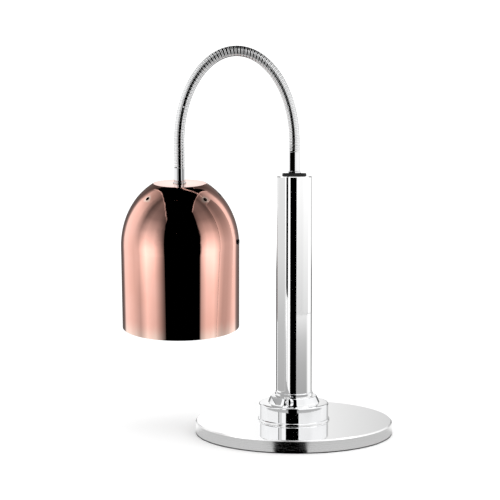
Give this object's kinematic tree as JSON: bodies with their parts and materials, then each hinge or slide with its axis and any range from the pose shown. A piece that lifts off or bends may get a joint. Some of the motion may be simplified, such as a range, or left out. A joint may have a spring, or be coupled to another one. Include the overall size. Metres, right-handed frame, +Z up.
{
  "type": "heat lamp warmer",
  "caption": "Table heat lamp warmer: copper-finish bell shade over a reflector bulb, on a bendable gooseneck and a column that turns in a round weighted base.",
  "frame": {"origin": "middle of the base pad's underside, on the bench and on the column's axis", "axes": "+Z up along the column, the lamp hangs towards -X, the clamp screw faces -Y and the cord gland faces +Y"},
  "size_m": [0.3866, 0.2794, 0.5459],
  "materials": {
    "cover_steel": "polished top, satin edge",
    "cast_iron": "as cast, painted",
    "pad_rubber": "matt",
    "zinc_steel": "zinc plated",
    "bright_chrome": "mirror polished",
    "neck_chrome": "bright, wound wire",
    "black_plastic": "semi gloss",
    "lead_sleeving": "silicone sleeving",
    "copper_finish": "polished, copper finish, clear lacquer",
    "screw_black": "blackened",
    "reflector_aluminium": "bright anodised",
    "nipple_brass": "plain",
    "cap_steel": "plated",
    "porcelain": "unglazed white",
    "bulb_glass": "clear, satin neck",
    "filament_mount": "drawn wire on a glass foot"
  },
  "bodies": {
    "base": {"base_cover": "cover_steel", "base_weight": "cast_iron", "base_pad": "pad_rubber", "base_bolts": "zinc_steel", "column_socket": "zinc_steel", "collar": "bright_chrome", "collar_cone": "bright_chrome", "cord_gland": "black_plastic", "gland_nut": "zinc_steel", "switch_body": "black_plastic", "switch_nut": "bright_chrome", "terminal_block": "black_plastic", "terminal_screws": "zinc_steel", "base_leads": "lead_sleeving"},
    "clamp_screw": {"clamp_screw": "bright_chrome"},
    "switch_lever": {"switch_lever": "bright_chrome"},
    "column": {"column_tube": "bright_chrome", "column_foot_ring": "bright_chrome", "column_cap": "bright_chrome", "lock_disc": "black_plastic", "neck_nut": "bright_chrome", "neck_sleeve": "bright_chrome", "neck_nipple": "nipple_brass", "neck_nipple_nut": "zinc_steel", "column_leads": "lead_sleeving", "neck_stub_lower": "neck_chrome"},
    "neck_1": {"neck_link_1": "neck_chrome"},
    "neck_2": {"neck_link_2": "neck_chrome"},
    "neck_3": {"neck_link_3": "neck_chrome"},
    "neck_4": {"neck_link_4": "neck_chrome"},
    "neck_5": {"neck_link_5": "neck_chrome"},
    "lamp_head": {"neck_stub_upper": "neck_chrome", "shade_ferrule": "bright_chrome", "shade_washer": "bright_chrome", "shade": "copper_finish", "head_nipple": "nipple_brass", "head_nipple_nut": "zinc_steel", "head_leads": "lead_sleeving", "tooth_washer": "zinc_steel", "holder_cap": "cap_steel", "lamp_holder": "porcelain", "holder_screws": "zinc_steel", "thread_shell": "nipple_brass", "centre_contact": "nipple_brass", "reflector": "reflector_aluminium", "reflector_screws": "screw_black"},
    "bulb": {"bulb_cap": "cap_steel", "bulb_contact": "nipple_brass", "bulb_glass": "bulb_glass", "bulb_filament": "filament_mount"}
  },
  "joints": [
    {"name": "column_swivel", "type": "hinge", "parent": "base", "child": "column", "pos_m": [0, 0, 0.045], "axis": [0, 0, 1], "range_deg": [-165, 165]},
    {"name": "clamp_screw_turn", "type": "hinge", "parent": "base", "child": "clamp_screw", "pos_m": [0, 0, 0.0492], "axis": [-0.1908, -0.9816, 0], "range_deg": [0, 360]},
    {"name": "switch_throw", "type": "hinge", "parent": "base", "child": "switch_lever", "pos_m": [-0.02983, 0.0426, 0.0315], "axis": [0.8192, 0.5736, 0], "range_deg": [0, 26]},
    {"name": "neck_bend_low", "type": "hinge", "parent": "column", "child": "neck_1", "pos_m": [-0.00079, 0, 0.42972], "axis": [0, -1, 0], "range_deg": [-20, 8]},
    {"name": "neck_side_low", "type": "hinge", "parent": "neck_1", "child": "neck_2", "pos_m": [-0.01717, 0, 0.49037], "axis": [0.8955, 0, 0.4452], "range_deg": [-12, 12]},
    {"name": "neck_bend_mid", "type": "hinge", "parent": "neck_2", "child": "neck_3", "pos_m": [-0.05597, 0, 0.53307], "axis": [0, 1, 0], "range_deg": [-6, 20]},
    {"name": "neck_side_mid", "type": "hinge", "parent": "neck_3", "child": "neck_4", "pos_m": [-0.10603, 0, 0.53307], "axis": [-0.4548, 0, 0.8906], "range_deg": [-15, 15]},
    {"name": "neck_bend_high", "type": "hinge", "parent": "neck_4", "child": "neck_5", "pos_m": [-0.14483, 0, 0.49037], "axis": [0, -1, 0], "range_deg": [-20, 7]},
    {"name": "neck_side_high", "type": "hinge", "parent": "neck_5", "child": "lamp_head", "pos_m": [-0.16121, 0.00274, 0.42972], "axis": [-0.996, 0, 0.0891], "range_deg": [-20, 20]},
    {"name": "bulb_unscrew", "type": "slide", "parent": "lamp_head", "child": "bulb", "axis": [0, 0.1167, -0.9932], "range_m": [0, 0.026]}
  ]
}
